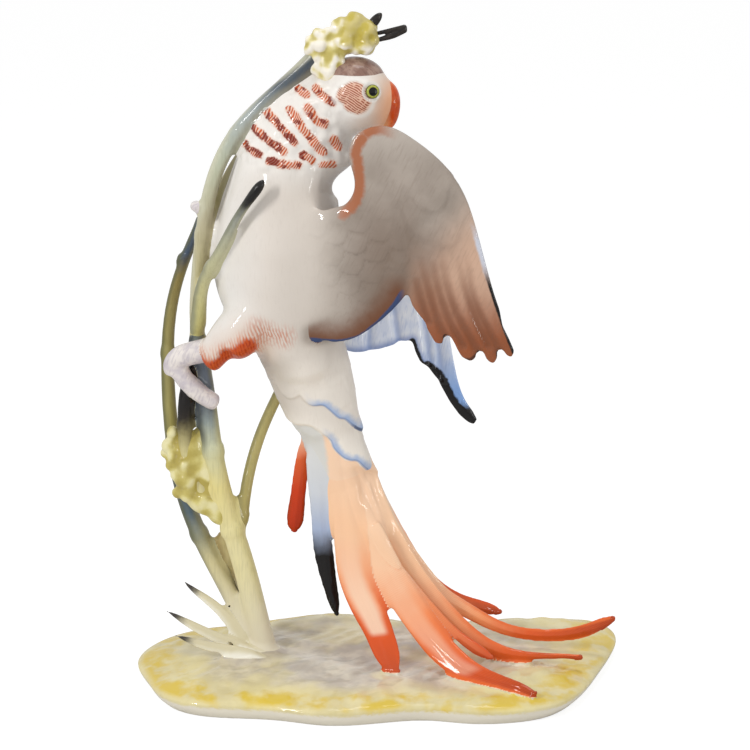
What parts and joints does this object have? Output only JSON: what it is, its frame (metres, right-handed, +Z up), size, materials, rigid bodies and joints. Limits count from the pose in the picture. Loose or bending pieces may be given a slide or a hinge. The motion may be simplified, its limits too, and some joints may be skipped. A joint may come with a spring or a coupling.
{
  "type": "porcelain figurine",
  "caption": "Glazed porcelain figurine of a long-tailed bird with raised wings, clinging to flowering canes on a low rocky base.",
  "frame": {"origin": "centre of the base's outline, on the plane that it stands on", "axes": "+Z up, +X along the sweep of the tail, -Y towards the bird's near side, which faces the viewer"},
  "size_m": [0.2503, 0.1442, 0.3421],
  "materials": {
    "body_glaze": "glossy clear glaze over painted porcelain",
    "crest_glaze": "glossy clear glaze over painted porcelain",
    "eye_glaze": "glossy clear glaze over painted porcelain",
    "beak_glaze": "glossy clear glaze over painted porcelain",
    "wing_glaze": "glossy clear glaze over painted porcelain",
    "tail_glaze": "glossy clear glaze over painted porcelain",
    "grey_feather_glaze": "glossy clear glaze over painted porcelain",
    "foot_glaze": "glossy clear glaze over painted porcelain",
    "cane_glaze": "glossy clear glaze over painted porcelain",
    "blossom_glaze": "glossy clear glaze over painted porcelain",
    "bud_glaze": "glossy clear glaze over painted porcelain",
    "grass_glaze": "glossy clear glaze over painted porcelain",
    "base_glaze": "glossy clear glaze over painted porcelain"
  },
  "bodies": {
    "root": {"torso": "body_glaze", "head": "body_glaze", "near_thigh": "body_glaze", "far_thigh": "body_glaze", "upper_coverts": "body_glaze", "lower_coverts": "body_glaze", "crest": "crest_glaze", "near_eye": "eye_glaze", "far_eye": "eye_glaze", "upper_beak": "beak_glaze", "lower_beak": "beak_glaze", "near_wing": "wing_glaze", "far_wing": "wing_glaze", "tail_feather_1": "tail_glaze", "tail_feather_2": "tail_glaze", "tail_feather_3": "tail_glaze", "tail_feather_4": "tail_glaze", "tail_feather_5": "tail_glaze", "tail_feather_6": "tail_glaze", "red_feather": "tail_glaze", "grey_feather": "grey_feather_glaze", "near_foot": "foot_glaze", "far_foot": "foot_glaze", "lower_cane": "cane_glaze", "upper_cane": "cane_glaze", "rear_cane": "cane_glaze", "root_shoot": "cane_glaze", "side_cane": "cane_glaze", "fork_cane": "cane_glaze", "front_twig": "cane_glaze", "breast_strut": "cane_glaze", "lower_blossom": "blossom_glaze", "upper_blossom": "blossom_glaze", "short_bud": "bud_glaze", "long_bud": "bud_glaze", "grass_blade_1": "grass_glaze", "grass_blade_2": "grass_glaze", "grass_blade_3": "grass_glaze", "base": "base_glaze"}
  },
  "joints": []
}
